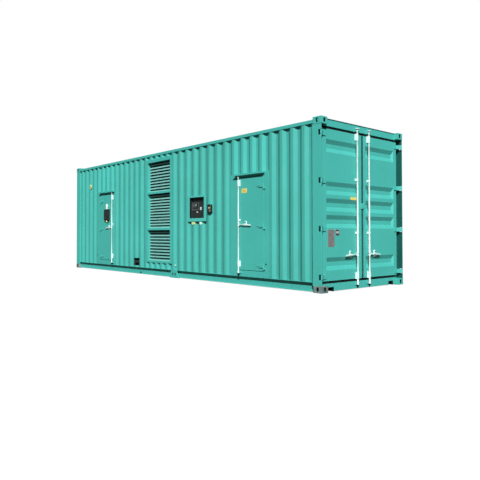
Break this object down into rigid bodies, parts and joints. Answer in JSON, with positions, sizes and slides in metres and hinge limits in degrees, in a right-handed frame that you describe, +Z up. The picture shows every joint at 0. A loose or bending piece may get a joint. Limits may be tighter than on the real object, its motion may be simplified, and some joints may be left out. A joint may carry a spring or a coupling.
{
  "type": "silent generator set in a freight container housing",
  "caption": "Silent generator set in a corrugated steel container housing with cargo doors, side doors, louvres and a control window.",
  "frame": {"origin": "centre of the footprint, on the ground", "axes": "+X along the housing towards the cargo doors, -Y the side with the controls, +Z up"},
  "size_m": [9.125, 2.542, 2.896],
  "materials": {
    "housing_paint": "satin",
    "bare_casting": "rough",
    "galvanised_steel": "matte",
    "door_rubber": "matte",
    "deck_wood": "matte",
    "window_glass": "clear",
    "dark_plastic": "matte",
    "white_plastic": "gloss",
    "cream_plastic": "matte",
    "plate_aluminium": "brushed",
    "cabinet_paint": "matte"
  },
  "bodies": {
    "housing": {"door_end_posts": "housing_paint", "closed_end_posts": "housing_paint", "bottom_castings": "bare_casting", "top_castings": "housing_paint", "top_side_rails": "housing_paint", "bottom_side_rails": "housing_paint", "door_end_rails": "housing_paint", "closed_end_rails": "housing_paint", "closed_end_wall": "housing_paint", "roof_panel": "housing_paint", "floor_deck": "deck_wood", "cross_members": "housing_paint", "control_side_wall": "housing_paint", "control_side_infill": "housing_paint", "far_side_wall": "housing_paint", "far_side_infill": "housing_paint", "side_door_frames": "housing_paint", "far_door_leaves": "housing_paint", "far_door_fittings": "galvanised_steel", "hinge_pins": "galvanised_steel", "rain_hoods": "housing_paint", "louvre_frames": "housing_paint", "louvre_banks": "housing_paint", "louvre_baffles": "dark_plastic", "control_window_frame": "housing_paint", "control_cabinet": "cabinet_paint", "controller_panel": "dark_plastic", "control_window_glass": "window_glass", "emergency_stop": "cream_plastic", "cable_box": "cabinet_paint", "middle_feet": "housing_paint", "lock_keepers": "galvanised_steel"},
    "near_cargo_door": {"near_cargo_leaf": "housing_paint", "near_cargo_seal": "door_rubber", "near_cargo_hinges": "housing_paint", "near_cargo_brackets": "galvanised_steel", "door_plates": "plate_aluminium"},
    "near_cargo_lock": {"near_cargo_rod": "galvanised_steel"},
    "far_cargo_door": {"far_cargo_leaf": "housing_paint", "far_cargo_seal": "door_rubber", "far_cargo_hinges": "housing_paint", "far_cargo_brackets": "galvanised_steel"},
    "far_cargo_lock": {"far_cargo_rod": "galvanised_steel"},
    "right_side_door": {"right_door_leaf": "housing_paint", "right_door_hinges": "galvanised_steel", "right_door_brackets": "galvanised_steel"},
    "right_side_lock": {"right_door_rod": "galvanised_steel"},
    "left_side_door": {"left_door_leaf": "housing_paint", "left_door_hinges": "galvanised_steel", "left_door_brackets": "galvanised_steel", "door_display": "dark_plastic", "door_lamp": "white_plastic"},
    "left_side_lock": {"left_door_rod": "galvanised_steel"}
  },
  "joints": [
    {"name": "near_cargo_door_swing", "type": "hinge", "parent": "housing", "child": "near_cargo_door", "pos_m": [4.5505, -1.207, 1.446], "axis": [0, 0, -1], "range_deg": [0, 270]},
    {"name": "near_cargo_lock_turn", "type": "hinge", "parent": "near_cargo_door", "child": "near_cargo_lock", "pos_m": [4.5205, -0.177, 1.446], "axis": [0, 0, -1], "range_deg": [-100, 0]},
    {"name": "far_cargo_door_swing", "type": "hinge", "parent": "housing", "child": "far_cargo_door", "pos_m": [4.5505, 1.207, 1.446], "axis": [0, 0, 1], "range_deg": [0, 270]},
    {"name": "far_cargo_lock_turn", "type": "hinge", "parent": "far_cargo_door", "child": "far_cargo_lock", "pos_m": [4.5205, 0.177, 1.446], "axis": [0, 0, 1], "range_deg": [-100, 0]},
    {"name": "right_side_door_swing", "type": "hinge", "parent": "housing", "child": "right_side_door", "pos_m": [3.2325, -1.229, 1.115], "axis": [0, 0, -1], "range_deg": [-170, 0]},
    {"name": "right_side_lock_turn", "type": "hinge", "parent": "right_side_door", "child": "right_side_lock", "pos_m": [2.5675, -1.241, 1.15], "axis": [0, 0, -1], "range_deg": [0, 100]},
    {"name": "left_side_door_swing", "type": "hinge", "parent": "housing", "child": "left_side_door", "pos_m": [-3.0625, -1.229, 1.115], "axis": [0, 0, 1], "range_deg": [-170, 0]},
    {"name": "left_side_lock_turn", "type": "hinge", "parent": "left_side_door", "child": "left_side_lock", "pos_m": [-2.3975, -1.241, 1.15], "axis": [0, 0, 1], "range_deg": [0, 100]}
  ]
}
